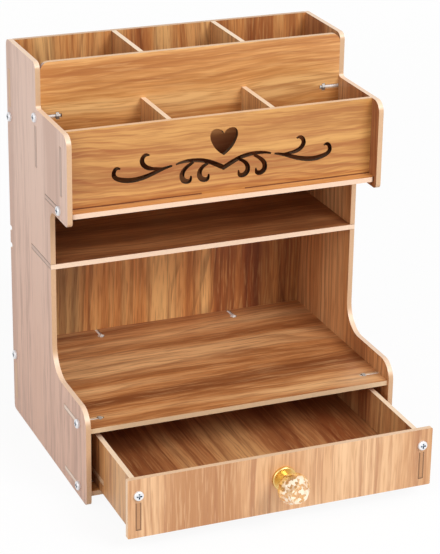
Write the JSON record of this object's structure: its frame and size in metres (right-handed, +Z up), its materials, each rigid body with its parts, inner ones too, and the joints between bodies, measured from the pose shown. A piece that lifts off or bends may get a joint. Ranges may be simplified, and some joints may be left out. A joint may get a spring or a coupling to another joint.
{
  "type": "brush holder with drawer",
  "caption": "Desk brush holder of slotted laminated boards: two stepped tiers of compartments, a slot shelf, an open shelf and a drawer with a crystal knob.",
  "frame": {"origin": "centre of the bounding box on the surface that the side panels stand on, with the drawer pulled out as at rest", "axes": "+Z up, -Y the front that the drawer pulls out of, +X towards the right side panel"},
  "size_m": [0.2644, 0.297, 0.323],
  "materials": {
    "laminate_board": "matte wood-grain laminate on thin fibreboard",
    "screw_steel": "bright plated",
    "nut_steel": "dull zinc plated",
    "gold_metal": "polished gold plate",
    "clear_crystal": "clear, faceted"
  },
  "bodies": {
    "cabinet": {"left_side_panel": "laminate_board", "right_side_panel": "laminate_board", "back_panel": "laminate_board", "rear_tier_wall": "laminate_board", "left_divider": "laminate_board", "right_divider": "laminate_board", "pocket_front_panel": "laminate_board", "pocket_floor": "laminate_board", "middle_shelf": "laminate_board", "desk_shelf": "laminate_board", "base_board": "laminate_board", "left_side_screws": "screw_steel", "right_side_screws": "screw_steel", "back_screws": "screw_steel", "left_side_nuts": "nut_steel", "right_side_nuts": "nut_steel", "back_nuts": "nut_steel"},
    "drawer": {"drawer_front": "laminate_board", "drawer_left_side": "laminate_board", "drawer_right_side": "laminate_board", "drawer_bottom": "laminate_board", "drawer_back": "laminate_board", "drawer_front_screws": "screw_steel", "drawer_front_nuts": "nut_steel", "drawer_back_screws": "screw_steel", "drawer_back_nuts": "nut_steel", "knob_collar": "gold_metal", "knob_crystal": "clear_crystal", "knob_screw": "screw_steel"}
  },
  "joints": [
    {"name": "drawer_slide", "type": "slide", "parent": "cabinet", "child": "drawer", "axis": [0, -1, 0], "range_m": [-0.0809, 0.06]}
  ]
}
